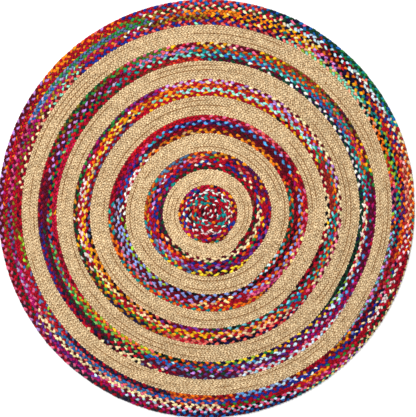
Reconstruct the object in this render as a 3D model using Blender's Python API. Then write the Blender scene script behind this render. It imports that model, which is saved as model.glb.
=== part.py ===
"""A round braided rug, 1.2 m across, built as it is sewn.

One flat three-strand braid winds outward from the middle of the rug, and each
turn is sewn edge to edge to the turn before it.  The maker changes the braid
ten times on the way, from cotton rag to jute and back, so the rug has eleven
bands.  Each band is one closed solid that lies flat on the floor: its turns
stand up as round ribs with a groove between them, and each of its two ends
tapers to a tip beside the next band, where the two braids are spliced.

Lengths are in metres and angles in radians, and the braid's length is counted
in turns from the heart.  +Z is up, and the rug's underside lies at z = 0 with
the middle of its outline over the origin.
"""

from collections import namedtuple
from math import cos, pi, radians, sin

import bmesh
import bpy
from mathutils import Vector

RUG_NAME = "round_jute_rug"
RUG_RADIUS = 0.598

STEPS_PER_TURN = 48
FIRST_SPLICE_ANGLE = radians(318.0)
SPLICE_STEPS = 3

# The rim's last tail tapers slowly, so that the outline stays round, and runs
# on a little past the angle at which the rim began.
RIM_ROW_WIDTH = 0.0134
RIM_TAIL_STEPS = 14
RIM_RUN_ON_STEPS = 4

GROOVE_HEIGHT = 0.0058
SEAM_GAP = 0.0003
MERGE_DISTANCE = 0.00001
SMOOTH_ANGLE = radians(50.0)

Braid = namedtuple("Braid", "crown_height roughness")
BRAIDS = {
    "rag": Braid(crown_height=0.0090, roughness=0.85),
    "jute": Braid(crown_height=0.0082, roughness=0.92),
}

# From the heart outward.  start_radius is where the band's first turn begins,
# east and north are how far the sewn ring has crept from the middle of the
# outline there, splice_step is how many steps past the first splice's angle
# the band is spliced on, and colour is its mean linear colour.
Band = namedtuple("Band", "name braid rows start_radius east north splice_step colour")
BANDS = (
    Band("rag_centre", "rag", 6, 0.0030, 0.0054, -0.0126, 0, (0.33, 0.10, 0.11)),
    Band("jute_ring_1", "jute", 4, 0.0784, 0.0055, -0.0132, 0, (0.62, 0.43, 0.22)),
    Band("rag_ring_1", "rag", 4, 0.1220, 0.0052, -0.0108, 0, (0.30, 0.11, 0.14)),
    Band("jute_ring_2", "jute", 4, 0.1730, 0.0055, -0.0112, 0, (0.60, 0.41, 0.21)),
    Band("rag_ring_2", "rag", 4, 0.2265, 0.0047, -0.0122, 0, (0.34, 0.12, 0.15)),
    Band("jute_ring_3", "jute", 4, 0.2755, 0.0069, -0.0106, 0, (0.57, 0.39, 0.19)),
    Band("rag_ring_3", "rag", 4, 0.3290, 0.0054, -0.0081, 1, (0.33, 0.16, 0.13)),
    Band("jute_ring_4", "jute", 4, 0.3750, 0.0048, -0.0072, 1, (0.57, 0.39, 0.19)),
    Band("rag_ring_4", "rag", 4, 0.4260, 0.0067, -0.0051, 2, (0.27, 0.11, 0.14)),
    Band("jute_ring_5", "jute", 4, 0.4770, 0.0031, -0.0038, 2, (0.58, 0.40, 0.20)),
    Band("rag_ring_5", "rag", 5, 0.5248, 0.0025, -0.0012, 2, (0.28, 0.09, 0.12)),
)
RIM_MIDDLE = Vector((0.0014, 0.0037))

# The slow bulges of the rings between heart and rim.  Each is a wave round the
# ring, and its size goes with the ring's radius to the power of growth.
Bulge = namedtuple("Bulge", "lobes size angle growth")
BULGES = (
    Bulge(lobes=2, size=0.0037, angle=radians(8.0), growth=0),
    Bulge(lobes=3, size=0.0019, angle=radians(-30.0), growth=1),
    Bulge(lobes=4, size=0.0045, angle=radians(9.5), growth=1),
)

# A splice: the turn at which it is complete, how much of a turn its taper
# takes, and the radius of the braid's inner edge and the ring's middle there.
Splice = namedtuple("Splice", "turn taper radius middle")


def list_splices():
    """Return the splice before each band, the rug's last tail, and a place beyond it."""
    splices = []
    turn = 0
    for band in BANDS:
        place = turn + band.splice_step / STEPS_PER_TURN
        middle = Vector((band.east, band.north))
        taper = SPLICE_STEPS / STEPS_PER_TURN
        splices.append(Splice(place, taper, band.start_radius, middle))
        turn += band.rows
    rim = splices[-1]
    rim_turns = BANDS[-1].rows + RIM_RUN_ON_STEPS / STEPS_PER_TURN
    for turns in (rim_turns, rim_turns + 2):
        radius = rim.radius + turns * RIM_ROW_WIDTH
        taper = RIM_TAIL_STEPS / STEPS_PER_TURN
        splices.append(Splice(rim.turn + turns, taper, radius, RIM_MIDDLE))
    return splices


def inner_edge(turn, splices):
    """Return the radius and middle of the braid's inner edge; a turn on, of its outer one."""
    for near, far in zip(splices, splices[1:]):
        if turn <= far.turn:
            break
    part = max(0.0, (turn - near.turn) / (far.turn - near.turn))
    radius = near.radius + part * (far.radius - near.radius)
    return radius, near.middle.lerp(far.middle, part)


def share_before(turn, splice):
    """Return how much of the row's width still belongs to the band before a splice."""
    return min(1.0, max(0.0, (splice.turn - turn) / splice.taper))


def settle(radius, angle, middle):
    """Return the place in the sewn rug of a point of the even spiral."""
    reach = radius / RUG_RADIUS
    settled = radius
    for bulge in BULGES:
        wave = cos(bulge.lobes * (angle - bulge.angle))
        settled += bulge.size * reach**bulge.growth * sin(pi * min(1.0, reach)) * wave
    return middle + settled * Vector((cos(angle), sin(angle)))


def wind_strip(mesh, band, start, end, splices):
    """Wind a flat strip, one row wide and ribbed, from one splice to the next."""
    first_turn = start.turn - start.taper
    steps = round((end.turn - first_turn) * STEPS_PER_TURN)
    bmesh.ops.create_grid(mesh, x_segments=steps, y_segments=2, size=0.5)
    rib = BRAIDS[band.braid].crown_height - GROOVE_HEIGHT
    for vertex in mesh.verts:
        turn = first_turn + (vertex.co.x + 0.5) * steps / STEPS_PER_TURN
        across = vertex.co.y + 0.5
        taken = share_before(turn, start)
        reached = share_before(turn, end)
        inside, inside_middle = inner_edge(turn, splices)
        outside, outside_middle = inner_edge(turn + 1, splices)
        share = taken + across * (reached - taken)
        radius = inside + share * (outside - inside)
        middle = inside_middle.lerp(outside_middle, share)
        angle = FIRST_SPLICE_ANGLE + 2 * pi * turn
        vertex.co.xy = settle(radius, angle, middle)
        vertex.co.z = GROOVE_HEIGHT + rib * sin(pi * across) * (reached - taken)
    bmesh.ops.remove_doubles(mesh, verts=mesh.verts, dist=MERGE_DISTANCE)


def boundary_loops(mesh):
    """Return the open edges of the sheet as closed loops, the shortest first."""
    open_edges = {edge for edge in mesh.edges if edge.is_boundary}
    loops = []
    while open_edges:
        loop = [open_edges.pop()]
        end = loop[0].verts[1]
        while True:
            following = [edge for edge in end.link_edges if edge in open_edges]
            if not following:
                break
            open_edges.remove(following[0])
            loop.append(following[0])
            end = following[0].other_vert(end)
        loops.append(loop)
    return sorted(loops, key=lambda loop: sum(edge.calc_length() for edge in loop))


def fill_heart(mesh, loop, height):
    """Fill the hole at the heart with a low cone, where the braid's first end is tucked in."""
    disc = bmesh.ops.contextual_create(mesh, geom=loop)["faces"]
    for tip in bmesh.ops.poke(mesh, faces=disc)["verts"]:
        tip.co.z = height


def draw_in(mesh, distance):
    """Move the sheet's open edges inward, which leaves a seam gap beside it."""
    moves = {}
    for edge in mesh.edges:
        if not edge.is_boundary:
            continue
        ends = [vertex.co.xy for vertex in edge.verts]
        along = (ends[1] - ends[0]).normalized()
        inward = edge.link_faces[0].calc_center_median().xy - ends[0]
        inward -= inward.dot(along) * along
        for vertex in edge.verts:
            moves[vertex] = moves.get(vertex, Vector((0, 0))) + inward.normalized()
    for vertex, move in moves.items():
        vertex.co.xy += move.normalized() * distance


def close_below(mesh, loops):
    """Drop the sheet's open edges to the floor and close the flat underside."""
    floor_edges = []
    for loop in loops:
        drop = bmesh.ops.extrude_edge_only(mesh, edges=loop)["geom"]
        for item in drop:
            if isinstance(item, bmesh.types.BMVert):
                item.co.z = 0.0
        for item in drop:
            if isinstance(item, bmesh.types.BMEdge) and item.is_boundary:
                floor_edges.append(item)
    if len(loops) > 1:
        bmesh.ops.bridge_loops(mesh, edges=floor_edges)
    else:
        bmesh.ops.contextual_create(mesh, geom=floor_edges)


def fabric_material(band):
    """Return the band's own plain finish."""
    material = bpy.data.materials.new(band.name)
    material.use_nodes = True
    shader = material.node_tree.nodes["Principled BSDF"]
    shader.inputs["Base Color"].default_value = (*band.colour, 1.0)
    shader.inputs["Roughness"].default_value = BRAIDS[band.braid].roughness
    shader.inputs["Metallic"].default_value = 0.0
    material.diffuse_color = (*band.colour, 1.0)
    return material


def make_band(band, start, end, splices, collection):
    """Make one band of the rug as one closed, ribbed solid."""
    mesh = bmesh.new()
    wind_strip(mesh, band, start, end, splices)
    loops = boundary_loops(mesh)
    if band is BANDS[0]:
        fill_heart(mesh, loops.pop(0), BRAIDS[band.braid].crown_height)
    draw_in(mesh, SEAM_GAP / 2)
    close_below(mesh, loops)
    bmesh.ops.recalc_face_normals(mesh, faces=mesh.faces)
    data = bpy.data.meshes.new(band.name)
    mesh.to_mesh(data)
    mesh.free()
    data.shade_smooth()
    data.set_sharp_from_angle(angle=SMOOTH_ANGLE)
    data.materials.append(fabric_material(band))
    part = bpy.data.objects.new(band.name, data)
    collection.objects.link(part)
    return part


def centre_on_origin(parts):
    """Move the meshes together, so that the outline's middle is over the origin."""
    places = [vertex.co for part in parts for vertex in part.data.vertices]
    low = Vector((min(place.x for place in places), min(place.y for place in places), 0))
    high = Vector((max(place.x for place in places), max(place.y for place in places), 0))
    middle = (low + high) / 2
    for part in parts:
        for vertex in part.data.vertices:
            vertex.co -= middle


def clear_scene():
    """Remove the objects that Blender starts with."""
    for item in list(bpy.data.objects):
        bpy.data.objects.remove(item, do_unlink=True)


def build_rug():
    """Build the rug's bands in one collection."""
    clear_scene()
    collection = bpy.data.collections.new(RUG_NAME)
    bpy.context.scene.collection.children.link(collection)
    splices = list_splices()
    parts = []
    for band, start, end in zip(BANDS, splices, splices[1:]):
        parts.append(make_band(band, start, end, splices, collection))
    centre_on_origin(parts)


build_rug()
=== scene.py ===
"""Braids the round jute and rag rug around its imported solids, strand by strand.

The rug is one flat three-strand braid wound outward from its heart and sewn edge to
edge.  Its eleven bands are braided in turn from cotton rag and from jute, and each
strand of each band is one closed tube here, which passes over and under the other two.
Lengths are in metres and angles in radians, and places along the braid are counted in
turns from the heart, as in the solids' own source.
"""

from collections import namedtuple
from math import ceil, pi, radians, tau

import bmesh
import bpy
import numpy as np
from bpy.props import FloatProperty, FloatVectorProperty, IntProperty, PointerProperty
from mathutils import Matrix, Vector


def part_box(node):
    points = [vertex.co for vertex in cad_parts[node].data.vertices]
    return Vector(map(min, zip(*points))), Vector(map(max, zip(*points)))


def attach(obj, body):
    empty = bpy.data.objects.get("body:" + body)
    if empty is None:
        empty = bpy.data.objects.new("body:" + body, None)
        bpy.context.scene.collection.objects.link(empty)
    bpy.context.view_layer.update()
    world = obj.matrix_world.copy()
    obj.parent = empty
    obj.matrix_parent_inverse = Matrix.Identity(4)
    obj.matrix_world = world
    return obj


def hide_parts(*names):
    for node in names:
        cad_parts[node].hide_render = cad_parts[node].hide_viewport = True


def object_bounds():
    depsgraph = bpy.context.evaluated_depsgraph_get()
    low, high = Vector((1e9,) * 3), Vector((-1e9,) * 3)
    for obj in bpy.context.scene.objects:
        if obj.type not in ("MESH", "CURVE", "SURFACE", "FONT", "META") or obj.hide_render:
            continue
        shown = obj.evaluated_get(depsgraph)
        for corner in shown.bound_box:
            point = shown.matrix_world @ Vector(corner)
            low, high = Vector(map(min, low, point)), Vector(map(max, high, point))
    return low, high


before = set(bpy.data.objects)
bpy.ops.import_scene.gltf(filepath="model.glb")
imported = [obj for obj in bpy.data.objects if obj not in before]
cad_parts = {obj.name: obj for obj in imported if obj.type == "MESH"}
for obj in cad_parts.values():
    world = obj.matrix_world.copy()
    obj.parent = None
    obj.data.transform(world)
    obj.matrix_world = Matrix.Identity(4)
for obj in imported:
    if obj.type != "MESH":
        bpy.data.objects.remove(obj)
CAD_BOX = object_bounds()

bl_info = {
    "name": "Round braided rug",
    "version": (1, 0, 0),
    "blender": (4, 5, 0),
    "location": "View3D > Sidebar > Rug",
    "description": "Braids a round rug of cotton rag and jute and sets it on a pale floor",
    "category": "Add Mesh",
}

BODY = "root"

# ---------------------------------------------------------------- the sewn spiral

STEPS_PER_TURN = 48
FIRST_SPLICE_ANGLE = radians(318.0)
SPLICE_TAPER = 3 / STEPS_PER_TURN
RIM_ROW_WIDTH = 0.0134
RIM_TAPER = 14 / STEPS_PER_TURN
RIM_RUN_ON = 4 / STEPS_PER_TURN
RUG_RADIUS = 0.598
ROW_WIDTH = 0.0124

# The braid starts a little inside the first turn, curled up in the rug's eye.
EYE_TURNS = 0.80
EYE_CLOSED_TURN = -0.24

Band = namedtuple("Band", "name braid rows start_radius east north splice_step")
BANDS = (
    Band("rag_centre", "rag", 6, 0.0030, 0.0054, -0.0126, 0),
    Band("jute_ring_1", "jute", 4, 0.0784, 0.0055, -0.0132, 0),
    Band("rag_ring_1", "rag", 4, 0.1220, 0.0052, -0.0108, 0),
    Band("jute_ring_2", "jute", 4, 0.1730, 0.0055, -0.0112, 0),
    Band("rag_ring_2", "rag", 4, 0.2265, 0.0047, -0.0122, 0),
    Band("jute_ring_3", "jute", 4, 0.2755, 0.0069, -0.0106, 0),
    Band("rag_ring_3", "rag", 4, 0.3290, 0.0054, -0.0081, 1),
    Band("jute_ring_4", "jute", 4, 0.3750, 0.0048, -0.0072, 1),
    Band("rag_ring_4", "rag", 4, 0.4260, 0.0067, -0.0051, 2),
    Band("jute_ring_5", "jute", 4, 0.4770, 0.0031, -0.0038, 2),
    Band("rag_ring_5", "rag", 5, 0.5248, 0.0025, -0.0012, 2),
)
RIM_MIDDLE = (0.0014, 0.0037)

Bulge = namedtuple("Bulge", "lobes size angle growth")
BULGES = (
    Bulge(lobes=2, size=0.0037, angle=radians(8.0), growth=0),
    Bulge(lobes=3, size=0.0019, angle=radians(-30.0), growth=1),
    Bulge(lobes=4, size=0.0045, angle=radians(9.5), growth=1),
)

Splice = namedtuple("Splice", "turn taper radius east north")


def list_splices():
    """Return the splice before each band, the rug's last tail, and a place beyond it."""
    splices = []
    turn = 0
    for band in BANDS:
        place = turn + band.splice_step / STEPS_PER_TURN
        splices.append(Splice(place, SPLICE_TAPER, band.start_radius, band.east, band.north))
        turn += band.rows
    rim = splices[-1]
    for turns in (BANDS[-1].rows + RIM_RUN_ON, BANDS[-1].rows + RIM_RUN_ON + 2):
        radius = rim.radius + turns * RIM_ROW_WIDTH
        splices.append(Splice(rim.turn + turns, RIM_TAPER, radius, *RIM_MIDDLE))
    return splices


SPLICES = list_splices()
EYE = Splice(EYE_CLOSED_TURN, 0.0, 0.0, BANDS[0].east, BANDS[0].north)


def share_before(turn, splice):
    """Return how much of the row's width still belongs to the band before a splice."""
    return np.clip((splice.turn - turn) / splice.taper, 0.0, 1.0)


def spiral_value(column, turn, across):
    """Return a spiral's value between the row's inner edge and, a turn on, its outer one."""
    marks = [EYE, *SPLICES]
    turns = [mark.turn for mark in marks]
    values = [getattr(mark, column) for mark in marks]
    inside = np.interp(turn, turns, values)
    outside = np.interp(turn + 1, turns, values)
    return inside + across * (outside - inside)


def rug_place(turn, across):
    """Return x and y of the places that lie a share of the row's width across it."""
    radius = spiral_value("radius", turn, across)
    angle = FIRST_SPLICE_ANGLE + tau * turn
    reach = radius / RUG_RADIUS
    settled = radius
    for bulge in BULGES:
        wave = np.cos(bulge.lobes * (angle - bulge.angle))
        settled = settled + bulge.size * reach**bulge.growth * np.sin(pi * np.minimum(1.0, reach)) * wave
    east = spiral_value("east", turn, across) + settled * np.cos(angle)
    north = spiral_value("north", turn, across) + settled * np.sin(angle)
    return np.stack((east, north), axis=-1)


def outline_middle():
    """Return the middle of the rug's outline, which the solids have over the origin."""
    tail = SPLICES[-2]
    turns = np.arange(tail.turn - 2, tail.turn, 1 / STEPS_PER_TURN)
    edge = rug_place(turns, share_before(turns, tail))
    return (edge.min(axis=0) + edge.max(axis=0)) / 2


OUTLINE_MIDDLE = outline_middle()

# ---------------------------------------------------------------- the rag strips

# Cotton strips by the names that the chart below gives them, as the colours of a screen.
STRIP_COLOURS = {
    "crimson": (166, 2, 30),
    "red": (196, 14, 24),
    "vermilion": (218, 56, 28),
    "brick": (152, 40, 30),
    "maroon": (92, 4, 24),
    "plum": (84, 12, 50),
    "purple": (74, 24, 96),
    "violet": (112, 50, 146),
    "magenta": (164, 8, 94),
    "pink": (218, 92, 130),
    "salmon": (224, 98, 88),
    "peach": (238, 164, 126),
    "blush": (240, 198, 196),
    "orange": (228, 104, 8),
    "amber": (234, 140, 14),
    "gold": (242, 172, 10),
    "yellow": (244, 200, 40),
    "straw": (238, 214, 130),
    "ochre": (186, 118, 26),
    "tan": (202, 154, 100),
    "cream": (238, 210, 160),
    "white": (240, 234, 226),
    "ice": (188, 220, 236),
    "sky": (76, 156, 216),
    "aqua": (108, 190, 200),
    "mint": (132, 214, 180),
    "teal": (10, 132, 130),
    "azure": (18, 94, 168),
    "royal": (26, 42, 136),
    "periwinkle": (136, 154, 218),
    "slate": (86, 96, 138),
    "steel": (78, 116, 152),
    "navy": (20, 10, 58),
    "black": (12, 6, 14),
    "charcoal": (40, 34, 46),
    "lime": (148, 186, 46),
    "leaf": (122, 190, 96),
    "green": (40, 128, 54),
    "dark_green": (12, 58, 38),
    "rose": (188, 14, 60),
    "olive": (116, 100, 22),
    "brown": (96, 50, 28),
    "lilac": (184, 128, 204),
    "mist": (160, 148, 182),
}

# The strips in each turn of each rag band, for its three strands, as charted.  The
# number after a strip says how far round the turn it reaches, in hundredths of the turn,
# and a minus sign marks a thin strip.
STRIP_CHART = {
    "rag_centre": (
        ("white- 34 crimson 42 white- 90 crimson 100", "maroon 100", "crimson 45 black- 60 crimson 100"),
        (
            "white- 18 crimson 26 white- 32 orange 48 white- 60 crimson 66 white- 82 blush- 93 orange 100",
            "maroon 10 black- 16 maroon 38 teal 46 maroon 55 navy 70 teal 88 maroon 100",
            "crimson 30 teal 40 crimson 100",
        ),
        (
            "crimson 6 teal 24 crimson 34 orange 42 salmon 62 teal 72 crimson 84 brick 92 teal 100",
            "teal 15 crimson 24 white- 32 maroon 40 teal 56 orange 66 teal 78 crimson 88 blush- 100",
            "crimson 30 maroon 44 crimson 100",
        ),
        (
            "brick 6 blush- 18 crimson 26 black- 30 teal 40 blush- 50 cream- 60 white- 72 blush 88 "
            "white- 100",
            "teal 12 crimson 20 teal 34 crimson 42 teal 56 black- 68 maroon 80 blush- 92 crimson 100",
            "crimson 60 maroon 70 crimson 100",
        ),
        (
            "white- 6 blush- 14 white- 58 white 70 blush- 80 crimson 86 orange 90 royal 94 amber 100",
            "black- 8 cream- 20 white- 42 navy 50 royal 72 crimson 84 navy 92 crimson 100",
            "crimson 90 magenta 100",
        ),
        (
            "royal 6 crimson 10 amber 28 crimson 32 amber 36 crimson 41 amber 44 teal 46 magenta 50 "
            "amber 72 magenta 76 ochre 84 royal 88 ochre 100",
            "royal 8 plum 20 magenta 28 navy 36 rose 44 royal 50 maroon 62 royal 70 magenta 78 teal 84 "
            "maroon 100",
            "crimson 44 magenta 50 crimson 72 magenta 80 crimson 88 teal 94 maroon 100",
        ),
    ),
    "rag_ring_1": (
        (
            "dark_green 12 brown 20 dark_green 48 teal 56 dark_green 70 cream 100",
            "crimson 50 plum 68 maroon 73 dark_green 79 cream 100",
            "maroon 16 crimson 34 maroon 50 magenta 60 plum 70 maroon 100",
        ),
        (
            "cream 13 royal 20 cream 26 royal 32 white 34 royal 36 white 42 royal 56 amber 58 royal 65 "
            "orange 81 royal 88 navy 97 orange 100",
            "cream 18 maroon 24 royal 30 crimson 35 white 36 royal 40 brick 48 royal 52 brick 58 royal 66 "
            "navy 72 orange 74 crimson 78 amber 80 maroon 84 green 88 violet 92 green 95 navy 100",
            "maroon 12 crimson 24 maroon 28 crimson 100",
        ),
        (
            "navy 6 purple 10 crimson 14 amber 16 purple 22 salmon 28 navy 31 salmon 33 green 36 salmon 43 "
            "lilac 48 white- 54 navy 60 white- 62 crimson 70 mist 80 violet 86 mist 91 violet 100",
            "green 3 royal 7 gold 11 crimson 14 gold 16 crimson 24 navy 26 crimson 38 salmon 42 crimson 52 "
            "lilac 60 violet 70 lilac 78 violet 84 navy 92 purple 100",
            "crimson 18 maroon 22 crimson 44 maroon 50 crimson 100",
        ),
        (
            "violet 10 purple 18 amber 22 plum 26 amber 36 orange 41 steel 54 orange 63 gold 69 steel 73 "
            "yellow 80 steel 83 yellow 100",
            "navy 12 crimson 16 plum 32 ochre 35 steel 38 crimson 41 steel 47 orange 52 teal 58 ochre 62 "
            "steel 70 yellow 72 teal 78 steel 84 yellow 87 black- 92 yellow 100",
            "crimson 18 purple 31 maroon 36 brick 60 crimson 80 maroon 100",
        ),
    ),
    "rag_ring_2": (
        (
            "ice 3 aqua 7 dark_green 18 crimson 21 amber 38 tan 42 orange 50 tan 52 white 62 lime 79 "
            "black 100",
            "dark_green 9 teal 17 maroon 21 orange 30 maroon 36 ochre 46 tan 52 blush 60 maroon 63 "
            "periwinkle 96 crimson 100",
            "vermilion 18 maroon 50 crimson 60 maroon 100",
        ),
        (
            "crimson 20 maroon 28 charcoal 33 crimson 46 maroon 49 aqua 52 navy 54 azure 60 periwinkle 67 "
            "maroon 88 orange 90 crimson 94 orange 100",
            "black 8 maroon 44 charcoal 50 royal 56 crimson 60 white- 64 periwinkle 89 cream 91 "
            "periwinkle 100",
            "maroon 50 crimson 58 maroon 92 crimson 100",
        ),
        (
            "orange 12 periwinkle 17 magenta 19 sky 46 magenta 58 mist 78 lilac 84 straw 90 "
            "crimson 93 pink 100",
            "periwinkle 12 orange 18 plum 30 purple 44 teal 47 pink 50 purple 58 charcoal 66 pink 76 "
            "crimson 84 peach 88 crimson 93 pink 100",
            "maroon 16 crimson 18 maroon 33 navy 45 crimson 58 maroon 66 charcoal 76 maroon 86 crimson 94 "
            "magenta 100",
        ),
        (
            "pink 12 crimson 20 pink 38 crimson 63 teal 66 orange 100",
            "straw 9 crimson 15 maroon 25 salmon 30 crimson 40 red 53 maroon 60 teal 62 orange 70 teal 88 "
            "orange 93 ochre 97 purple 100",
            "crimson 13 pink 16 crimson 62 maroon 72 crimson 92 maroon 100",
        ),
    ),
    "rag_ring_3": (
        (
            "black 5 cream 16 gold 42 crimson 46 slate 64 amber 76 salmon 80 violet 87 aqua 100",
            "crimson 8 cream 12 maroon 22 black 26 crimson 46 maroon 60 black 64 ochre 70 black 76 "
            "maroon 80 magenta 84 dark_green 100",
            "maroon 8 black 12 crimson 62 black 66 maroon 72 peach 76 black 79 maroon 86 crimson 100",
        ),
        (
            "aqua 9 green 10 brick 18 mint 42 orange 45 straw 54 gold 66 cream 75 peach 78 gold 86 peach 94 "
            "teal 97 orange 100",
            "dark_green 9 brick 16 green 18 ice 38 amber 42 orange 45 gold 54 cream 60 gold 66 straw 72 "
            "crimson 75 cream 80 gold 88 amber 95 azure 98 crimson 100",
            "crimson 9 brick 14 crimson 44 navy 48 crimson 62 magenta 66 crimson 100",
        ),
        (
            "teal 9 orange 17 lilac 26 orange 40 amber 46 straw 48 orange 54 white 57 blush 62 gold 64 "
            "white 67 gold 84 cream 96 teal 98 pink 100",
            "amber 8 teal 19 orange 24 periwinkle 27 brick 34 orange 45 gold 50 red 54 blush 58 crimson 62 "
            "blush 66 green 82 charcoal 88 peach 93 charcoal 96 crimson 100",
            "crimson 12 brick 16 crimson 66 maroon 70 crimson 100",
        ),
        (
            "pink 10 cream 24 lilac 41 magenta 46 green 50 magenta 55 dark_green 62 gold 64 white- 66 "
            "ochre 80 salmon 94 blush 100",
            "cream 12 lilac 16 cream 30 crimson 32 cream 40 violet 46 purple 52 green 58 ochre 62 "
            "dark_green 70 charcoal 78 salmon 84 navy 100",
            "maroon 30 crimson 42 maroon 70 navy 76 crimson 84 black 90 crimson 100",
        ),
    ),
    "rag_ring_4": (
        (
            "dark_green 10 white 24 plum 33 brick 44 crimson 66 amber 72 gold 77 orange 83 yellow 97 ice 100",
            "black 5 white- 8 navy 24 dark_green 31 teal 34 vermilion 37 brown 40 dark_green 50 rose 60 "
            "maroon 66 lime 77 dark_green 84 lime 88 green 90 purple 97 lime 100",
            "dark_green 25 maroon 33 crimson 50 rose 66 crimson 70 salmon 77 black 80 purple 84 navy 96 "
            "plum 100",
        ),
        (
            "cream 9 teal 14 aqua 16 azure 22 aqua 30 mint 40 teal 44 green 50 navy 60 leaf 75 azure 85 "
            "purple 87 ice 96 sky 100",
            "blush 8 aqua 12 teal 16 slate 20 teal 26 azure 32 aqua 36 crimson 42 mist 44 navy 48 slate 52 "
            "green 58 slate 66 green 72 charcoal 76 azure 80 slate 86 ice 90 plum 100",
            "crimson 30 maroon 40 crimson 46 red 75 crimson 86 plum 92 magenta 100",
        ),
        (
            "sky 4 plum 9 teal 12 orange 16 teal 20 orange 34 lilac 40 magenta 44 lilac 55 plum 72 "
            "cream- 76 plum 79 lilac 82 violet 90 magenta 100",
            "plum 8 magenta 11 olive 13 magenta 15 teal 34 steel 38 teal 42 maroon 60 dark_green 76 "
            "slate 80 dark_green 84 pink 88 purple 100",
            "maroon 11 orange 14 salmon 20 brick 34 salmon 40 maroon 72 crimson 76 maroon 90 crimson 100",
        ),
        (
            "plum 11 gold 15 olive 20 brick 25 gold 28 pink 30 gold 33 pink 35 gold 37 green 47 olive 52 "
            "crimson 54 plum 58 royal 65 crimson 71 cream 79 slate 85 ice 100",
            "magenta 10 green 12 maroon 15 charcoal 20 olive 27 maroon 30 cream 33 maroon 36 olive 44 "
            "dark_green 53 maroon 58 purple 66 navy 71 maroon 74 cream 76 plum 86 blush 100",
            "maroon 17 brick 24 crimson 27 maroon 33 crimson 36 pink 40 crimson 44 brown 48 crimson 58 "
            "maroon 60 crimson 71 black 75 plum 86 crimson 100",
        ),
    ),
    "rag_ring_5": (
        (
            "lilac 6 navy 9 salmon 10 lime 13 orange 16 mint 27 salmon 40 royal 44 mint 48 cream 56 "
            "crimson 60 lime 63 crimson 66 lime 67 crimson 69 navy 79 orange 84 sky 87 ice 90 crimson 93 "
            "amber 96 navy 100",
            "aqua 6 orange 8 pink 10 orange 14 peach 25 navy 29 royal 44 salmon 50 crimson 56 maroon 60 "
            "olive 63 slate 70 charcoal 79 orange 82 crimson 85 periwinkle 90 maroon 94 ochre 96 crimson 100",
            "brown 6 purple 9 magenta 10 crimson 13 black 17 mint 20 lime 24 salmon 27 crimson 44 maroon 56 "
            "crimson 78 brick 82 maroon 90 crimson 94 maroon 100",
        ),
        (
            "crimson 4 teal 10 lime 16 gold 20 pink 23 gold 32 olive 37 magenta 39 ochre 50 magenta 54 "
            "crimson 62 pink 66 steel 78 azure 84 royal 100",
            "brick 4 crimson 8 lime 9 teal 18 black 20 lilac 23 cream 25 navy 32 ochre 36 white- 40 "
            "magenta 48 olive 60 crimson 69 azure 80 royal 95 navy 100",
            "maroon 4 navy 8 crimson 10 black 16 navy 22 crimson 32 maroon 38 crimson 44 mint- 46 "
            "magenta 52 crimson 66 salmon 84 crimson 90 white- 92 crimson 96 cream- 100",
        ),
        (
            "pink 3 white- 4 orange 23 straw 26 amber 30 orange 36 green 40 steel 50 pink 57 slate 61 "
            "mist 65 pink 67 cream 84 crimson 90 amber 93 crimson 97 white- 100",
            "green 3 orange 6 purple 9 navy 12 crimson 17 black 21 maroon 23 gold 28 orange 33 slate 38 "
            "green 47 azure 50 magenta 66 cream 84 green 88 crimson 91 orange 93 green 96 crimson 100",
            "crimson 6 purple 9 crimson 12 purple 17 navy 20 maroon 23 black 25 navy 30 amber 34 "
            "crimson 38 slate 44 mist 50 maroon 61 magenta 66 maroon 74 pink 78 maroon 84 crimson 98 "
            "blush 100",
        ),
        (
            "crimson 2 blush 6 peach 12 cream 15 ice 26 cream 37 green 40 amber- 50 orange- 58 olive 62 "
            "dark_green 66 cream- 68 magenta 75 ice 90 pink 95 cream- 98 maroon 100",
            "white- 2 crimson 6 salmon 12 royal 15 white 20 crimson 23 ice 25 dark_green 36 olive 40 "
            "crimson 67 violet 70 magenta 78 pink 90 magenta 94 dark_green 100",
            "crimson 6 brick 12 crimson 15 maroon 20 black 22 maroon 24 crimson 68 purple 71 violet 73 "
            "crimson 76 maroon 80 black 90 crimson 100",
        ),
        (
            "crimson 4 white- 6 cream 14 azure 16 teal 21 azure 25 pink 27 azure 36 royal 39 orange 47 "
            "lilac 60 pink 66 lilac 68 pink 74 crimson 80 navy 90 straw 100",
            "maroon 4 orange 12 straw 14 cream 16 green 21 dark_green 28 salmon 34 pink 37 crimson 44 "
            "amber 47 maroon 60 crimson 71 charcoal 76 magenta 80 azure 90 teal 93 lilac 96 cream 100",
            "crimson 6 brick 14 teal 16 dark_green 25 navy 28 crimson 47 maroon 66 plum 71 charcoal 80 "
            "maroon 92 crimson 95 dark_green 98 maroon 100",
        ),
    ),
}
THIN_STRIP = 0.62
THIN_MARK = "-"

# How light each jute band is, next to the others.
JUTE_TONES = {
    "jute_ring_1": 1.05,
    "jute_ring_2": 1.00,
    "jute_ring_3": 0.98,
    "jute_ring_4": 0.95,
    "jute_ring_5": 0.97,
}

Strips = namedtuple("Strips", "ends colours fullness")


def linear(colour):
    """Return the linear colour of one given as a screen shows it, in parts of 255."""
    shown = np.array(colour) / 255
    return np.where(shown <= 0.04045, shown / 12.92, ((shown + 0.055) / 1.055) ** 2.4)


def read_strips(band_name, strand):
    """Return a strand's strips: where each ends, in turns, its colour and its fullness."""
    ends = []
    colours = []
    fullness = []
    for turn, strands in enumerate(STRIP_CHART[band_name]):
        words = strands[strand].split()
        for colour, hundredths in zip(words[::2], words[1::2]):
            ends.append(turn + int(hundredths) / 100)
            colours.append(linear(STRIP_COLOURS[colour.rstrip(THIN_MARK)]))
            fullness.append(THIN_STRIP if colour.endswith(THIN_MARK) else 1.0)
    return Strips(np.array(ends), np.array(colours), np.array(fullness))


# ---------------------------------------------------------------- the braid

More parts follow.
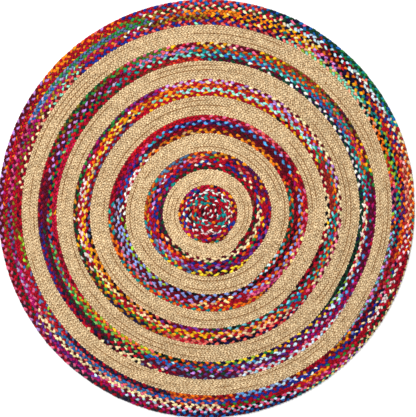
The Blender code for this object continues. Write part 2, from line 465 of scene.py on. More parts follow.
# How long the plait of each band is, next to the usual one of its kind.
PLAIT_SHARES = {
    "rag_centre": 0.91,
    "jute_ring_1": 0.94,
    "rag_ring_1": 1.02,
    "jute_ring_2": 0.97,
    "rag_ring_2": 1.00,
    "jute_ring_3": 1.00,
    "rag_ring_3": 1.02,
    "jute_ring_4": 1.00,
    "rag_ring_4": 0.98,
    "jute_ring_5": 1.07,
    "rag_ring_5": 0.89,
}

STRAND_LETTERS = "abc"
FINE_STEPS_PER_TURN = 400
MERGE_DISTANCE = 0.000002
STRAND_MAP = "strand"
BAKE_MAP = "OFBake"
BAKE_ROW_MARGIN = 0.04
COLOUR_ATTRIBUTE = "strip_colour"
EDGE_ATTRIBUTE = "row_edge"
SEAM_ATTRIBUTE = "seam_place"

# A strand's own way through its plait is an angle.  The strand lies lowest here, and half
# a plait on, each time less half its lead.
LOWEST_PLACE = 0.75 * pi
EDGE_SHARPNESS = 8
TIP_COLUMNS = 2

# The outward way is taken between two places, each this share of the row to one side.
OUTWARD_STEP = 0.1

# How often a strand's width and its place change in a plait.
WIDTH_CHANGES = 2
PLACE_CHANGES = 3

# How far it is round a strand, next to its width and thickness together.
GIRTH_SHARE = 1.6

# How far the tone of the jute drifts along the braid, and over what length.
TONE_DRIFT = 0.06
TONE_DRIFT_LENGTH = 0.15

# A strand's width changes this many times as much as its thickness, and a lobe's shade as
# its tint.
WIDTH_TO_THICKNESS = 2
SHADE_TO_TINT = 3

Braid = namedtuple("Braid", "turn across width along phase")
Columns = namedtuple("Columns", "turn across width along own")
Section = namedtuple("Section", "half_width half_thickness")


def wander(rng, along, spacing):
    """Return a random wave along the braid, between -1 and 1, with its knots spaced apart."""
    knots = np.arange(along[0] - spacing, along[-1] + 2 * spacing, spacing)
    return np.interp(along, knots, rng.uniform(-1.0, 1.0, len(knots)))


def unit(vectors):
    """Return the vectors, each at length one."""
    return vectors / np.linalg.norm(vectors, axis=-1, keepdims=True)


def lay_braid(number, look, rng):
    """Return the braid of one band at fine steps: its place, width, length and phase."""
    start, end = SPLICES[number], SPLICES[number + 1]
    first_turn = -EYE_TURNS if number == 0 else start.turn - start.taper
    steps = round((end.turn - first_turn) * FINE_STEPS_PER_TURN)
    turn = np.linspace(first_turn, end.turn, steps + 1)
    taken = share_before(turn, start) if number else np.zeros_like(turn)
    reached = share_before(turn, end)
    across = (taken + reached) / 2
    middle = rug_place(turn, across)
    breadth = rug_place(turn, reached) - rug_place(turn, taken)
    width = np.hypot(*breadth.T)
    along = np.concatenate(([0.0], np.cumsum(np.hypot(*np.diff(middle, axis=0).T))))
    plaits = along / (look.plait_length * PLAIT_SHARES[BANDS[number].name])
    pull = look.uneven_pull * wander(rng, along, look.uneven_length)
    tug = look.uneven_tug * wander(rng, along, look.plait_length)
    return Braid(turn, across, width, along, tau * (plaits + pull + tug))


def strand_columns(braid, strand, look):
    """Return the places of a strand's columns, which are the same ones in each plait."""
    step = tau / look.steps
    lead = tau * strand / len(STRAND_LETTERS)
    first = np.ceil((braid.phase[0] + lead) / step)
    last = np.floor((braid.phase[-1] + lead) / step)
    own = (np.arange(first, last) + 0.5) * step
    places = (np.interp(own - lead, braid.phase, values) for values in braid[:-1])
    return Columns(*places, own)


def find_lobes(columns, look):
    """Return each column's lobe, between two low places, and its way from lobe to lobe."""
    lowest = LOWEST_PLACE - look.edge_lead / 2
    place = (columns.own - lowest) / pi
    place = place - np.floor(place[0])
    return place.astype(int), place - 0.5


def strand_section(columns, look, fullness, rng):
    """Return half the strand's width and half its thickness at each column."""
    taper = np.minimum(1.0, columns.width / look.full_width) ** look.taper_power
    squeeze = 1 - look.edge_squeeze * np.cos(columns.own) ** EDGE_SHARPNESS
    spacing = look.plait_length / WIDTH_CHANGES
    wider = 1 + look.uneven_width * wander(rng, columns.along, spacing)
    thicker = 1 + look.uneven_width / WIDTH_TO_THICKNESS * wander(rng, columns.along, spacing)
    puff = 1 + look.puff * np.sin(2 * columns.own + look.edge_lead)
    half_width = look.strand_width / 2 * taper * squeeze * puff * fullness * wider
    half_thickness = look.strand_thickness / 2 * taper * np.sqrt(fullness) * thicker
    return Section(half_width, half_thickness)


def strand_path(columns, section, crown, look, rng):
    """Return the strand's middle line, its place across the row, and the row's outward way."""
    size = np.minimum(1.0, columns.width / look.full_width)
    spacing = look.plait_length / PLACE_CHANGES
    swing = columns.width / 2 + look.row_overlap * size - section.half_thickness
    stray = look.uneven_place * size
    lateral = swing * np.cos(columns.own) + stray * wander(rng, columns.along, spacing)
    rise = (crown - look.strand_thickness) / 2
    height = crown / 2 + rise * np.sin(2 * columns.own + look.edge_lead)
    height = height + stray * wander(rng, columns.along, spacing)
    row_width = np.hypot(*(rug_place(columns.turn, 1.0) - rug_place(columns.turn, 0.0)).T)
    ground = rug_place(columns.turn, columns.across + lateral / row_width) - OUTLINE_MIDDLE
    outside = rug_place(columns.turn, columns.across + OUTWARD_STEP)
    outward = unit(outside - rug_place(columns.turn, columns.across - OUTWARD_STEP))
    return np.column_stack((ground, height)), lateral / row_width, np.pad(outward, ((0, 0), (0, 1)))


def strand_directions(centre, outward, own, look):
    """Return the ways along the section's width and its thickness, which turns at the edges."""
    tangent = unit(np.gradient(centre, axis=0))
    flat = np.abs(np.sin(own))
    roll = pi / 2 * flat / np.hypot(flat, look.edge_roll * np.cos(own))
    up = np.array((0.0, 0.0, 1.0))
    facing = np.cos(roll)[:, None] * outward + np.sin(roll)[:, None] * up
    thick = unit(facing - (facing * tangent).sum(axis=1, keepdims=True) * tangent)
    return np.cross(tangent, thick), thick


def close_tips(values):
    """Return the values, brought down to nothing at the strand's two tips."""
    column = np.arange(len(values))
    nearest = np.minimum(column, column[::-1])
    return values * np.sqrt(np.clip(nearest / TIP_COLUMNS, 0.0, 1.0))


def section_points(centre, wide, thick, section, look):
    """Return the points round each column of the strand, and how far each is from its middle."""
    angle = tau * np.arange(look.sides) / look.sides
    if look.sides % 2:
        angle = angle + pi / 2
    reach_wide = np.cos(angle) / np.abs(np.cos(angle)).max()
    reach_thick = np.sin(angle) / np.abs(np.sin(angle)).max()
    half_width = close_tips(section.half_width)[:, None, None]
    half_thickness = close_tips(section.half_thickness)[:, None, None]
    reach = half_width * reach_wide[None, :, None] * wide[:, None, :]
    reach = reach + half_thickness * reach_thick[None, :, None] * thick[:, None, :]
    points = centre[:, None, :] + reach
    points[:, :, 2] = np.maximum(points[:, :, 2], 0.0)
    return points, reach


def grid_mesh(name, columns, rows, size):
    """Return a flat mesh grid that reaches a size to each side of its middle."""
    sheet = bmesh.new()
    bmesh.ops.create_grid(sheet, x_segments=columns, y_segments=rows, size=size)
    mesh = bpy.data.meshes.new(name)
    sheet.to_mesh(mesh)
    sheet.free()
    return mesh


def add_object(name, data):
    """Return a new object in the scene, at the origin."""
    item = bpy.data.objects.new(name, data)
    bpy.context.scene.collection.objects.link(item)
    return item


def strand_sheet(name, columns, sides):
    """Return a flat mesh grid with a column for each step, and each point's column and side."""
    mesh = grid_mesh(name, columns, sides, 0.5)
    flat = np.empty(len(mesh.vertices) * 3)
    mesh.vertices.foreach_get("co", flat)
    flat = flat.reshape(-1, 3)
    column = np.rint((flat[:, 0] + 0.5) * columns).astype(int)
    side = np.rint((flat[:, 1] + 0.5) * sides).astype(int)
    return mesh, column, side


def corner_columns(mesh, column):
    """Return each corner's vertex, and the column at which the corner's face begins."""
    corner = np.empty(len(mesh.loops), dtype=int)
    mesh.loops.foreach_get("vertex_index", corner)
    return corner, column[corner].reshape(-1, 4).min(axis=1).repeat(4)


def add_uv_maps(mesh, column, side, along, look):
    """Give the strand a map in metres along it, and one of packed rows for its baked picture."""
    corner, face_column = corner_columns(mesh, column)
    around = side[corner] / look.sides
    strand_map = mesh.uv_layers.new(name=STRAND_MAP)
    strand_map.uv.foreach_set("vector", np.column_stack((along[column[corner]], around)).ravel())
    girth = GIRTH_SHARE * (look.strand_width + look.strand_thickness)
    rows = max(1, round((along[-1] / girth) ** 0.5))
    columns_in_row = ceil((len(along) - 1) / rows)
    row = face_column // columns_in_row
    packed_along = (column[corner] - row * columns_in_row) / columns_in_row
    packed_across = (row + BAKE_ROW_MARGIN + (1 - 2 * BAKE_ROW_MARGIN) * around) / rows
    bake_map = mesh.uv_layers.new(name=BAKE_MAP)
    bake_map.uv.foreach_set("vector", np.column_stack((packed_along, packed_across)).ravel())


def add_colours(mesh, column, colours):
    """Give each face of the strand the colour of the strip that it belongs to."""
    face_column = corner_columns(mesh, column)[1]
    colour = mesh.color_attributes.new(COLOUR_ATTRIBUTE, "FLOAT_COLOR", "CORNER")
    solid = np.column_stack((colours, np.ones(len(colours))))
    colour.data.foreach_set("color", solid[face_column].ravel())


def add_values(mesh, name, values):
    """Give each point of the strand a value."""
    attribute = mesh.attributes.new(name, "FLOAT", "POINT")
    attribute.data.foreach_set("value", values)


def close_seam(mesh):
    """Merge the sheet's two long edges and its two tips, so that the strand is closed."""
    tube = bmesh.new()
    tube.from_mesh(mesh)
    bmesh.ops.remove_doubles(tube, verts=tube.verts, dist=MERGE_DISTANCE)
    tube.to_mesh(mesh)
    tube.free()
    mesh.shade_smooth()


def rag_finish(number, strand, columns, look, rng):
    """Return the colour and the fullness at each column of a rag strand, lobe by lobe."""
    strips = read_strips(BANDS[number].name, strand)
    lobe, lobe_place = find_lobes(columns, look)
    count = lobe[-1] + 1
    middle = np.interp(np.arange(count), lobe_place, columns.turn) - SPLICES[number].turn
    reach = np.where(rng.random(count) < look.stray_share, look.stray_reach, look.joint_reach)
    strip = np.searchsorted(strips.ends, middle + reach * rng.uniform(-1.0, 1.0, count))
    strip = np.minimum(strip, len(strips.ends) - 1)
    grey = strips.colours.mean(axis=1, keepdims=True)
    faded = (strips.colours + look.fading * (grey - strips.colours))[strip]
    shade = 1 + look.uneven_shade * rng.uniform(-1.0, 1.0, (count, 1))
    tint = 1 + look.uneven_shade / SHADE_TO_TINT * rng.uniform(-1.0, 1.0, (count, 3))
    worn = np.clip(faded * shade * tint, 0.0, 1.0)
    fullness = strips.fullness[strip] * (1 + look.uneven_fullness * rng.uniform(-1.0, 1.0, count))
    return worn[lobe], np.interp(lobe_place, np.arange(count), fullness)


def jute_finish(number, columns, look, rng):
    """Return the tone and the fullness at each column of a jute strand, lobe by lobe."""
    lobe, lobe_place = find_lobes(columns, look)
    count = lobe[-1] + 1
    shade = 1 + look.uneven_shade * rng.uniform(-1.0, 1.0, count)
    drift = 1 + TONE_DRIFT * wander(rng, columns.along, TONE_DRIFT_LENGTH)
    tone = JUTE_TONES[BANDS[number].name] * shade[lobe] * drift
    fullness = 1 + look.uneven_fullness * rng.uniform(-1.0, 1.0, count)
    return np.repeat(tone[:, None], 3, axis=1), np.interp(lobe_place, np.arange(count), fullness)


def make_strand(number, strand, braid, look, material):
    """Make one strand of one band and fit it to the frame."""
    band = BANDS[number]
    rng = np.random.default_rng((look.seed, number, strand))
    columns = strand_columns(braid, strand, look)
    if band.braid == "rag":
        colours, fullness = rag_finish(number, strand, columns, look, rng)
    else:
        colours, fullness = jute_finish(number, columns, look, rng)
    section = strand_section(columns, look, fullness, rng)
    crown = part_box(band.name)[1].z
    centre, shift, outward = strand_path(columns, section, crown, look, rng)
    wide, thick = strand_directions(centre, outward, columns.own, look)
    points, reach = section_points(centre, wide, thick, section, look)
    name = f"{band.name}_strand_{STRAND_LETTERS[strand]}"
    mesh, column, side = strand_sheet(name, len(columns.own) - 1, look.sides)
    ring = side % look.sides
    mesh.vertices.foreach_set("co", points[column, ring].ravel())
    add_uv_maps(mesh, column, side, columns.along, look)
    add_colours(mesh, column, colours)
    offset = shift[:, None] + (reach * outward[:, None, :]).sum(axis=2) / columns.width.max()
    add_values(mesh, EDGE_ATTRIBUTE, 2 * np.abs(offset[column, ring]))
    seam_turn = columns.turn[column] + (offset[column, ring] > 0)
    add_values(mesh, SEAM_ATTRIBUTE, pi * ROW_WIDTH * seam_turn**2)
    close_seam(mesh)
    mesh.materials.append(material)
    piece = add_object(name, mesh)
    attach(piece, BODY)
    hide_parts(band.name)


def make_bands(kind, look, material):
    """Braid every band of one kind."""
    for number, band in enumerate(BANDS):
        if band.braid != kind:
            continue
        braid = lay_braid(number, look, np.random.default_rng((look.seed, number)))
        for strand in range(len(STRAND_LETTERS)):
            make_strand(number, strand, braid, look, material)


# ---------------------------------------------------------------- materials

WHITE = (1.0, 1.0, 1.0, 1.0)
NEAR_BLACK = (0.1, 0.1, 0.1, 1.0)

# How many lines there are in a metre along a strand, and how closely they lie round it.
RAG_FOLDS = {"Lines Along": 60.0, "Lines Around": 1.1}
RAG_CREASES = {"Lines Along": 190.0, "Lines Around": 0.75}
JUTE_FIBRES = {"Lines Along": 110.0, "Lines Around": 1.6, "Plies": 3.0}
JUTE_TUFTS = {"Lines Along": 280.0, "Lines Around": 1.1}

# The part of each mask's range that a material spreads out.
LINE_RANGE = (0.3, 0.7)
CREASE_RANGE = (0.38, 0.58)
TUFT_RANGE = (0.41, 0.51)
PLY_RANGE = (0.0, 0.6)
STRETCH_RANGE = (0.48, 0.56)
BREAK_RANGE = (0.42, 0.52)

# How dark and how light the painted shade and light of the folds make a strip's colour, and how light the
# painted highlights of its creases make it.
PAINTED_FOLD_SHADE_AND_LIGHT = (0.78, 1.16)
PAINTED_CREASE_HIGHLIGHT = 1.2

# The heights between which the painted shade between the strands fades out.
RAG_PAINTED_SHADE_DEPTHS = {"Low": 0.0035, "High": 0.0086}
JUTE_PAINTED_SHADE_DEPTHS = {"Low": 0.0038, "High": 0.0070}

# Where the brown of a seam begins and is full, from a row's middle to its edge at 1, and
# how often it changes in a metre.
JUTE_SEAMS = {"Edge Start": 0.5, "Edge End": 0.92, "Stretch Scale": 3.0}


def add_node(tree, kind, inputs=None, **settings):
    """Add a node with its settings and its sockets' values."""
    node = tree.nodes.new(kind)
    for name, value in settings.items():
        setattr(node, name, value)
    for name, value in (inputs or {}).items():
        node.inputs[name].default_value = value
    return node


def join(tree, value, socket):
    """Link an output to a socket, or give it a number or a colour."""
    if isinstance(value, bpy.types.NodeSocket):
        tree.links.new(value, socket)
    else:
        socket.default_value = value


def add_math(tree, operation, *values):
    """Add a Math node of links and numbers, and return its output."""
    node = add_node(tree, "ShaderNodeMath", operation=operation)
    for socket, value in zip(node.inputs, values):
        join(tree, value, socket)
    return node.outputs[0]


def spread(tree, value, source, target=(0.0, 1.0)):
    """Return the value spread from one range to another."""
    node = add_node(tree, "ShaderNodeMapRange")
    names = ("Value", "From Min", "From Max", "To Min", "To Max")
    for name, end in zip(names, (value, *source, *target)):
        join(tree, end, node.inputs[name])
    return node.outputs["Result"]


def mix_colours(tree, factor, first, second, blend="MIX"):
    """Return the mix of two colours."""
    node = add_node(tree, "ShaderNodeMix", data_type="RGBA", blend_type=blend)
    for name, value in (("Factor", factor), ("A", first), ("B", second)):
        join(tree, value, node.inputs[name])
    return node.outputs["Result"]


def new_group(name, inputs, outputs):
    """Return a new node group, what its input node gives and what its output node takes."""
    group = bpy.data.node_groups.new(name, "ShaderNodeTree")
    for socket, value in inputs.items():
        kind = "NodeSocketColor" if isinstance(value, tuple) else "NodeSocketFloat"
        made = group.interface.new_socket(socket, in_out="INPUT", socket_type=kind)
        made.default_value = value
    for socket, kind in outputs.items():
        group.interface.new_socket(socket, in_out="OUTPUT", socket_type=kind)
    return group, group.nodes.new("NodeGroupInput").outputs, group.nodes.new("NodeGroupOutput").inputs


def strand_lines_group():
    """Return the group of lines that run along a strand: the folds of rag, the fibres of jute."""
    group, given, result = new_group(
        "strand lines",
        {"Lines Along": 20.0, "Lines Around": 1.0, "Twist": 0.0, "Plies": 2.0},
        {"Line": "NodeSocketFloat", "Ply": "NodeSocketFloat"},
    )
    place = add_node(group, "ShaderNodeUVMap", uv_map=STRAND_MAP)
    parts = add_node(group, "ShaderNodeSeparateXYZ")
    group.links.new(place.outputs["UV"], parts.inputs[0])
    along, around = parts.outputs["X"], parts.outputs["Y"]
    twisted = add_math(group, "MULTIPLY_ADD", along, given["Twist"], around)
    angle = add_math(group, "MULTIPLY", twisted, tau)
    spot = add_node(group, "ShaderNodeCombineXYZ")
    join(group, add_math(group, "MULTIPLY", along, given["Lines Along"]), spot.inputs["X"])
    for name, operation in (("Y", "COSINE"), ("Z", "SINE")):
        circle = add_math(group, operation, angle)
        join(group, add_math(group, "MULTIPLY", circle, given["Lines Around"]), spot.inputs[name])
    noise = add_node(group, "ShaderNodeTexNoise", {"Scale": 1.0, "Detail": 3.0, "Roughness": 0.6})
    group.links.new(spot.outputs[0], noise.inputs["Vector"])
    group.links.new(noise.outputs["Fac"], result["Line"])
    ridge = add_math(group, "COSINE", add_math(group, "MULTIPLY", angle, given["Plies"]))
    group.links.new(add_math(group, "MULTIPLY_ADD", ridge, 0.5, 0.5), result["Ply"])
    return group


def painted_depth_shade_group():
    """Return the group that paints shade into a colour low down between the strands."""
    group, given, result = new_group(
        "painted depth shade",
        {"Color": WHITE, "Painted Shade Color": NEAR_BLACK, "Amount": 0.5, "Low": 0.003, "High": 0.007},
        {"Color": "NodeSocketColor"},
    )
    place = add_node(group, "ShaderNodeTexCoord")
    parts = add_node(group, "ShaderNodeSeparateXYZ")
    group.links.new(place.outputs["Object"], parts.inputs[0])
    depth = spread(group, parts.outputs["Z"], (given["Low"], given["High"]), (1.0, 0.0))
    shade = add_math(group, "MULTIPLY", depth, given["Amount"])
    group.links.new(mix_colours(group, shade, given["Color"], given["Painted Shade Color"]), result["Color"])
    return group


def seam_shade_group():
    """Return the group that tints some stretches of the seams between the rows."""
    group, given, result = new_group(
        "seam shade",
        {
            "Color": WHITE,
            "Seam Color": NEAR_BLACK,
            "Amount": 0.5,
            "Edge Start": 0.7,
            "Edge End": 0.9,
            "Stretch Scale": 1.5,
            "Break Up": 1.0,
        },
        {"Color": "NodeSocketColor"},
    )
    edge = add_node(group, "ShaderNodeAttribute", attribute_name=EDGE_ATTRIBUTE)
    seam = add_node(group, "ShaderNodeAttribute", attribute_name=SEAM_ATTRIBUTE)
    shade = spread(group, edge.outputs["Fac"], (given["Edge Start"], given["Edge End"]))
    stretches = add_node(group, "ShaderNodeTexNoise", {"Detail": 3.0}, noise_dimensions="1D")
    group.links.new(seam.outputs["Fac"], stretches.inputs["W"])
    group.links.new(given["Stretch Scale"], stretches.inputs["Scale"])
    tinted = spread(group, stretches.outputs["Fac"], STRETCH_RANGE)
    broken = spread(group, given["Break Up"], BREAK_RANGE)
    for factor in (tinted, given["Amount"], broken):
        shade = add_math(group, "MULTIPLY", shade, factor)
    group.links.new(mix_colours(group, shade, given["Color"], given["Seam Color"]), result["Color"])
    return group


def place_group(tree, name, make, inputs):
    """Place a shared node group in a material, with its values and links."""
    node = add_node(tree, "ShaderNodeGroup", node_tree=bpy.data.node_groups.get(name) or make())
    for socket, value in inputs.items():
        join(tree, value, node.inputs[socket])
    return node.outputs


def place_lines(tree, inputs):
    """Place the group of lines along a strand in a material."""
    return place_group(tree, "strand lines", strand_lines_group, inputs)


def place_painted_depth_shade(tree, colour, look, depths):
    """Return a colour output darkened with painted shade low down between the strands."""
    inputs = {"Color": colour, "Painted Shade Color": (*look.painted_shade_colour, 1.0), "Amount": look.painted_shade_amount}
    return place_group(tree, "painted depth shade", painted_depth_shade_group, {**inputs, **depths})["Color"]


def shade_colour(tree, colour, factor):
    """Return a colour output times a factor."""
    grey = add_node(tree, "ShaderNodeCombineColor")
    for socket in grey.inputs:
        tree.links.new(factor, socket)
    return mix_colours(tree, 1.0, colour, grey.outputs[0], blend="MULTIPLY")


def new_material(name, roughness, gloss, sheen):
    """Return a new material, its tree and its shader."""
    material = bpy.data.materials.new(name)
    material.use_nodes = True
    tree = material.node_tree
    shader = tree.nodes["Principled BSDF"]
    shader.inputs["Roughness"].default_value = roughness
    shader.inputs["Specular IOR Level"].default_value = gloss
    shader.inputs["Sheen Weight"].default_value = sheen
    shader.inputs["Sheen Roughness"].default_value = 0.6
    return material, tree, shader


def add_bump(tree, shader, height, depth):
    """Raise the surface by a height of up to depth, in metres."""
    bump = add_node(tree, "ShaderNodeBump", {"Strength": 1.0, "Distance": depth})
    tree.links.new(height, bump.inputs["Height"])
    tree.links.new(bump.outputs["Normal"], shader.inputs["Normal"])


def rag_material(look):
    """Return the finish of the cotton strips: soft folds along them with painted shade and light, painted
    shade and highlights in the creases, painted shade low down between the strands, and their own colours.
    """
    material, tree, shader = new_material("cotton rag", roughness=0.8, gloss=0.06, sheen=0.02)
    strip = add_node(tree, "ShaderNodeAttribute", attribute_name=COLOUR_ATTRIBUTE)
    folds = place_lines(tree, RAG_FOLDS)
    creases = place_lines(tree, RAG_CREASES)
    # Painted shade and light: the folds darken and lighten the strip's colour along the same lines that raise
    # them, and the creases darken it and paint highlights on it.
    folded = shade_colour(tree, strip.outputs["Color"], spread(tree, folds["Line"], LINE_RANGE, PAINTED_FOLD_SHADE_AND_LIGHT))
    painted_crease_shade_and_highlight = spread(tree, creases["Line"], CREASE_RANGE, (look.crease_shade, PAINTED_CREASE_HIGHLIGHT))
    painted_crease_colour = shade_colour(tree, folded, painted_crease_shade_and_highlight)
    # Painted shade: the colour is darkened by height, low down between the strands.
    tree.links.new(place_painted_depth_shade(tree, painted_crease_colour, look, RAG_PAINTED_SHADE_DEPTHS), shader.inputs["Base Color"])
    add_bump(tree, shader, folds["Line"], look.fold_depth)
    return material


def jute_material(look):
    """Return the finish of the jute: twisted fibres, pale and brown, darker seams, painted shade in the
    grooves between the plies and painted shade low down between the strands.
    """
    material, tree, shader = new_material("jute", roughness=0.85, gloss=0.1, sheen=0.02)
    fibres = place_lines(tree, {**JUTE_FIBRES, "Twist": look.twist})
    tufts = place_lines(tree, JUTE_TUFTS)
    tone = add_node(tree, "ShaderNodeAttribute", attribute_name=COLOUR_ATTRIBUTE)
    pale_fibres = spread(tree, fibres["Line"], LINE_RANGE, (-look.fibre_share / 2, look.fibre_share / 2))
    paleness = add_math(tree, "ADD", pale_fibres, spread(tree, tufts["Line"], TUFT_RANGE))
    mixed = mix_colours(tree, paleness, (*look.dark_colour, 1.0), (*look.pale_colour, 1.0))
    toned = mix_colours(tree, 1.0, mixed, tone.outputs["Color"], blend="MULTIPLY")
    # Painted shade: the colour is darkened in the grooves between the plies.
    painted_ply_shade_colour = shade_colour(tree, toned, spread(tree, fibres["Ply"], PLY_RANGE, (look.ply_shade, 1.0)))
    seam_shade = {
        # Painted shade: the colour is darkened by height, low down between the strands.
        "Color": place_painted_depth_shade(tree, painted_ply_shade_colour, look, JUTE_PAINTED_SHADE_DEPTHS),
        "Seam Color": (*look.seam_colour, 1.0),
        "Amount": look.seam_amount,
        "Break Up": tufts["Line"],
    }
    seams = place_group(tree, "seam shade", seam_shade_group, {**seam_shade, **JUTE_SEAMS})
    tree.links.new(seams["Color"], shader.inputs["Base Color"])
    ridges = add_math(tree, "MULTIPLY_ADD", fibres["Ply"], look.ply_share, fibres["Line"])
    add_bump(tree, shader, ridges, look.fold_depth)
    return material


# ---------------------------------------------------------------- settings


def length_setting(name, description, default):
    """Return a setting in metres."""
    return FloatProperty(name=name, description=description, default=default, unit="LENGTH")


def share_setting(name, description, default):
    """Return a setting that is a share of something."""
    return FloatProperty(name=name, description=description, default=default, subtype="FACTOR")


def colour_setting(name, description, default):
    """Return a setting that is a linear colour."""
    return FloatVectorProperty(name=name, description=description, default=default, subtype="COLOR")


class RagSettings(bpy.types.PropertyGroup):
    """How the cotton rag is braided."""

    plait_length: length_setting("Plait length", "Length in which a strand crosses and returns", 0.0368)
    strand_width: length_setting("Strand width", "Width of a folded strip", 0.0078)
    strand_thickness: length_setting("Strand thickness", "Thickness of a folded strip", 0.0038)
    full_width: length_setting("Full width", "Row width at which the strands are full", 0.0115)
    row_overlap: length_setting("Row overlap", "How far a row presses into the next", 0.0004)
    edge_lead: FloatProperty(
        name="Edge lead",
        description="How near the row's edge a strand is highest",
        default=0.45,
        subtype="ANGLE",
    )
    edge_roll: FloatProperty(
        name="Edge roll", description="How slowly a strip turns over at the row's edge", default=0.35
    )
    edge_squeeze: share_setting("Edge squeeze", "How much narrower a strip is there", 0.25)
    puff: share_setting("Puff", "How far a strip swells between its crossings", 0.2)
    taper_power: FloatProperty(
        name="Taper power", description="How strongly strands thin where the row narrows", default=0.7
    )
    uneven_length: length_setting("Uneven length", "Length over which the maker's pull changes", 0.20)
    uneven_pull: share_setting("Uneven pull", "Change of the pull, in plaits", 0.18)
    uneven_tug: share_setting("Uneven tug", "Change from one plait to the next, in plaits", 0.2)
    uneven_width: share_setting("Uneven width", "Change of a strand's width", 0.22)
    uneven_place: length_setting("Uneven place", "How far a strand strays", 0.0005)
    fold_depth: length_setting("Fold depth", "Depth of the folds along a strip", 0.0016)
    uneven_fullness: share_setting("Uneven fullness", "Change of width from lobe to lobe", 0.16)
    uneven_shade: share_setting("Uneven shade", "Change of shade from lobe to lobe", 0.28)
    fading: share_setting("Fading", "How far the colours are faded", 0.01)
    joint_reach: FloatProperty(
        name="Joint reach", description="How far the ends of strips stray, in turns", default=0.008
    )
    stray_share: share_setting("Stray share", "Share of lobes with another strip sewn in", 0.08)
    stray_reach: FloatProperty(
        name="Stray reach", description="How far off that strip is charted, in turns", default=0.12
    )
    crease_shade: share_setting("Crease shade", "Shade in the fine creases", 0.66)
    # Painted shade low down between the strands: its colour and its strength.
    painted_shade_colour: colour_setting("Painted shade colour", "Shade between the strands", (0.012, 0.003, 0.006))
    painted_shade_amount: share_setting("Painted shade amount", "Strength of that shade", 0.7)
    steps: IntProperty(name="Steps", description="Mesh steps in a plait", default=12)
    sides: IntProperty(name="Sides", description="Mesh sides round a strand", default=6)
    seed: IntProperty(name="Seed", description="Seed of the unevenness", default=5)


class JuteSettings(bpy.types.PropertyGroup):
    """How the jute is braided."""

    plait_length: length_setting("Plait length", "Length in which a strand crosses and returns", 0.0265)
    strand_width: length_setting("Strand width", "Width of a strand of fibre", 0.0060)
    strand_thickness: length_setting("Strand thickness", "Thickness of a strand", 0.0042)
    full_width: length_setting("Full width", "Row width at which the strands are full", 0.0115)
    row_overlap: length_setting("Row overlap", "How far a row presses into the next", 0.0007)
    edge_lead: FloatProperty(
        name="Edge lead",
        description="How near the row's edge a strand is highest",
        default=0.4,
        subtype="ANGLE",
    )
    edge_roll: FloatProperty(
        name="Edge roll", description="How slowly a strand turns over at the row's edge", default=0.2
    )
    edge_squeeze: share_setting("Edge squeeze", "How much narrower a strand is there", 0.1)
    puff: share_setting("Puff", "How far a strand swells between its crossings", 0.12)
    taper_power: FloatProperty(
        name="Taper power", description="How strongly strands thin where the row narrows", default=0.7
    )
    uneven_length: length_setting("Uneven length", "Length over which the maker's pull changes", 0.20)
    uneven_pull: share_setting("Uneven pull", "Change of the pull, in plaits", 0.18)
    uneven_tug: share_setting("Uneven tug", "Change from one plait to the next, in plaits", 0.09)
    uneven_width: share_setting("Uneven width", "Change of a strand's width", 0.16)
    uneven_place: length_setting("Uneven place", "How far a strand strays", 0.0004)
    uneven_fullness: share_setting("Uneven fullness", "Change of width from lobe to lobe", 0.14)
    uneven_shade: share_setting("Uneven shade", "Change of tone from lobe to lobe", 0.14)
    fibre_share: share_setting("Fibre share", "Contrast of the fibres beside that of the tufts", 0.6)
    twist: FloatProperty(name="Twist", description="Turns of the plies in a metre of strand", default=52.0)
    ply_share: FloatProperty(
        name="Ply share", description="Height of the plies beside the fibres", default=0.8
    )
    ply_shade: share_setting("Ply shade", "Shade in the grooves between the plies", 0.72)
    fold_depth: length_setting("Fibre depth", "Depth of the fibres", 0.0012)
    pale_colour: colour_setting("Pale fibre", "Colour of the pale fibres", (0.98, 0.75, 0.445))
    dark_colour: colour_setting("Dark fibre", "Colour of the brown fibres", (0.32, 0.15, 0.04))
    # Painted shade low down between the strands: its colour and its strength.
    painted_shade_colour: colour_setting("Painted shade colour", "Shade between the strands", (0.24, 0.12, 0.035))
    painted_shade_amount: share_setting("Painted shade amount", "Strength of that shade", 0.7)
    seam_colour: colour_setting("Seam colour", "Colour of the browned seams", (0.25, 0.10, 0.022))
    seam_amount: share_setting("Seam amount", "Strength of that colour", 1.0)
    steps: IntProperty(name="Steps", description="Mesh steps in a plait", default=8)
    sides: IntProperty(name="Sides", description="Mesh sides round a strand", default=5)
    seed: IntProperty(name="Seed", description="Seed of the unevenness", default=11)


class StageSettings(bpy.types.PropertyGroup):
    """The floor, the lights and the camera."""

    floor_colour: colour_setting("Floor", "Colour of the floor", (0.93, 0.93, 0.93))
    floor_size: length_setting("Floor size", "Side of the floor", 14.0)
    sky_strength: FloatProperty(name="Sky strength", description="Strength of the even light", default=0.88)
    lamp_power: FloatProperty(
        name="Lamp power", description="Power of the soft lamp", default=70.0, unit="POWER"
    )
    lamp_size: length_setting("Lamp size", "Side of the soft lamp", 1.6)
    camera_height: length_setting("Camera height", "Distance above the rug's top", 2.819)
    camera_east: length_setting("Camera east", "Camera's place east of the rug's middle", 0.0048)
    camera_north: length_setting("Camera north", "Camera's place north of the rug's middle", -0.0005)
    lens: FloatProperty(name="Lens", description="Focal length", default=85.0, unit="CAMERA")


class RugSettings(bpy.types.PropertyGroup):
    """All settings of the rug."""

    rag: PointerProperty(type=RagSettings, name="Rag", description="How the cotton rag is braided")
    jute: PointerProperty(type=JuteSettings, name="Jute", description="How the jute is braided")
    stage: PointerProperty(type=StageSettings, name="Stage", description="Floor, lights and camera")


# ---------------------------------------------------------------- stage

LAMP_PLACE = (-0.9, 1.2, 2.6)
LAMP_TURN = (radians(-24.0), radians(-18.0), 0.0)
SENSOR_WIDTH = 36.0


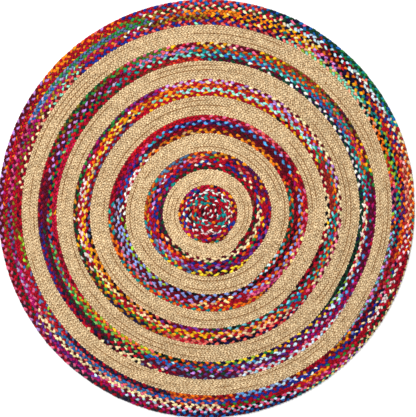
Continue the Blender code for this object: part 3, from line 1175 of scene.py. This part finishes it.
def lay_floor(stage):
    """Lay a plain pale floor under the rug."""
    mesh = grid_mesh("floor", 1, 1, stage.floor_size / 2)
    material, _, shader = new_material("floor", roughness=0.9, gloss=0.5, sheen=0.0)
    shader.inputs["Base Color"].default_value = (*stage.floor_colour, 1.0)
    mesh.materials.append(material)
    floor = add_object("floor", mesh)


def light_stage(scene, stage):
    """Light the rug with an even sky and one soft lamp above its upper left side."""
    world = bpy.data.worlds.new("studio")
    world.use_nodes = True
    sky = world.node_tree.nodes["Background"]
    sky.inputs["Color"].default_value = WHITE
    sky.inputs["Strength"].default_value = stage.sky_strength
    scene.world = world
    lamp = bpy.data.lights.new("soft_lamp", "AREA")
    lamp.energy = stage.lamp_power
    lamp.size = stage.lamp_size
    holder = add_object("soft_lamp", lamp)
    holder.location = LAMP_PLACE
    holder.rotation_euler = LAMP_TURN


def place_camera(scene, stage):
    """Hang the camera over the rug, looking straight down."""
    view = bpy.data.cameras.new("camera")
    view.lens = stage.lens
    view.sensor_width = SENSOR_WIDTH
    camera = add_object("camera", view)
    camera.location = (stage.camera_east, stage.camera_north, CAD_BOX[1].z + stage.camera_height)
    scene.camera = camera


# ---------------------------------------------------------------- operators


class RUG_OT_braid_rag(bpy.types.Operator):
    """Braid the bands of cotton rag"""

    bl_idname = "rug.braid_rag"
    bl_label = "Braid the rag bands"

    def execute(self, context):
        """Make the strands of the six rag bands."""
        look = context.scene.rug.rag
        make_bands("rag", look, rag_material(look))
        return {"FINISHED"}


class RUG_OT_braid_jute(bpy.types.Operator):
    """Braid the bands of jute"""

    bl_idname = "rug.braid_jute"
    bl_label = "Braid the jute bands"

    def execute(self, context):
        """Make the strands of the five jute bands."""
        look = context.scene.rug.jute
        make_bands("jute", look, jute_material(look))
        return {"FINISHED"}


class RUG_OT_set_stage(bpy.types.Operator):
    """Set the floor, the lights and the camera"""

    bl_idname = "rug.set_stage"
    bl_label = "Set the stage"

    def execute(self, context):
        """Make the floor, the lights and the camera above the rug."""
        stage = context.scene.rug.stage
        lay_floor(stage)
        light_stage(context.scene, stage)
        place_camera(context.scene, stage)
        context.scene.view_settings.view_transform = "Standard"
        return {"FINISHED"}


class VIEW3D_PT_rug(bpy.types.Panel):
    """The rug's panel in the sidebar"""

    bl_label = "Round braided rug"
    bl_idname = "VIEW3D_PT_rug"
    bl_space_type = "VIEW_3D"
    bl_region_type = "UI"
    bl_category = "Rug"

    def draw(self, context):
        """List the operators, each above its settings."""
        settings = context.scene.rug
        for operator, group in (
            (RUG_OT_set_stage, settings.stage),
            (RUG_OT_braid_rag, settings.rag),
            (RUG_OT_braid_jute, settings.jute),
        ):
            box = self.layout.box()
            box.operator(operator.bl_idname)
            for name in group.__annotations__:
                box.prop(group, name)


CLASSES = (
    RagSettings,
    JuteSettings,
    StageSettings,
    RugSettings,
    RUG_OT_braid_rag,
    RUG_OT_braid_jute,
    RUG_OT_set_stage,
    VIEW3D_PT_rug,
)


def register():
    """Register the classes and hang the settings on the scene."""
    for item in CLASSES:
        bpy.utils.register_class(item)
    bpy.types.Scene.rug = PointerProperty(type=RugSettings)


def unregister():
    """Take the settings off the scene and unregister the classes."""
    del bpy.types.Scene.rug
    for item in reversed(CLASSES):
        bpy.utils.unregister_class(item)


def main():
    """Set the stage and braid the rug."""
    register()
    bpy.ops.rug.set_stage()
    bpy.ops.rug.braid_rag()
    bpy.ops.rug.braid_jute()


if __name__ == "__main__":
    main()
